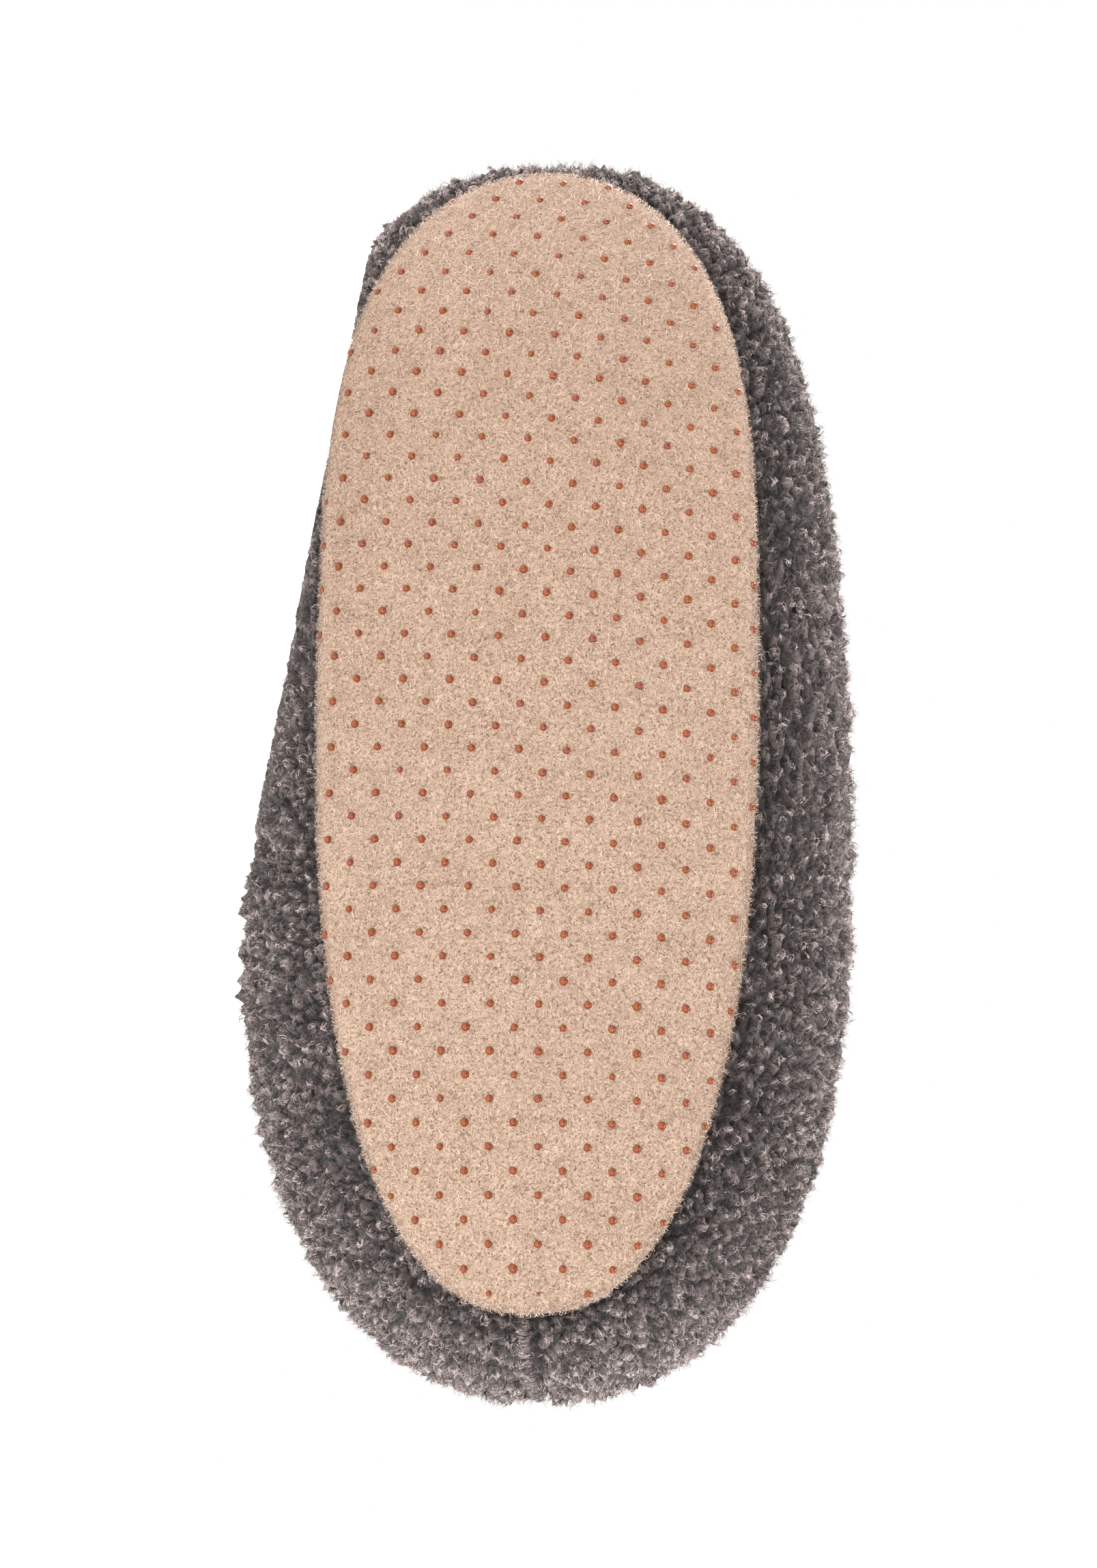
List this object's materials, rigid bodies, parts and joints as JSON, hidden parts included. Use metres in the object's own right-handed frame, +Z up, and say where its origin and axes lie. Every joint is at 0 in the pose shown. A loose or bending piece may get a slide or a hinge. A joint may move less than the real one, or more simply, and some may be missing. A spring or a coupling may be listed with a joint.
{
  "type": "slipper sock",
  "caption": "Low slipper sock with a curled fleece upper, open collar, padded fabric sole and insole, lying on its side on sole edge and upper.",
  "frame": {"origin": "centre of the underside of the lying slipper's box, on the floor", "axes": "+Z up from the floor, +X from toe to heel, +Y from the tread towards the collar"},
  "size_m": [0.2756, 0.0974, 0.1326],
  "materials": {
    "sole_fabric": "brushed nap with rubber grip dots",
    "fleece": "curled wool pile",
    "felt": "felted wool",
    "grip_rubber": "glossy"
  },
  "bodies": {
    "root": {"outsole": "sole_fabric", "upper": "fleece", "insole": "felt"}
  },
  "joints": []
}
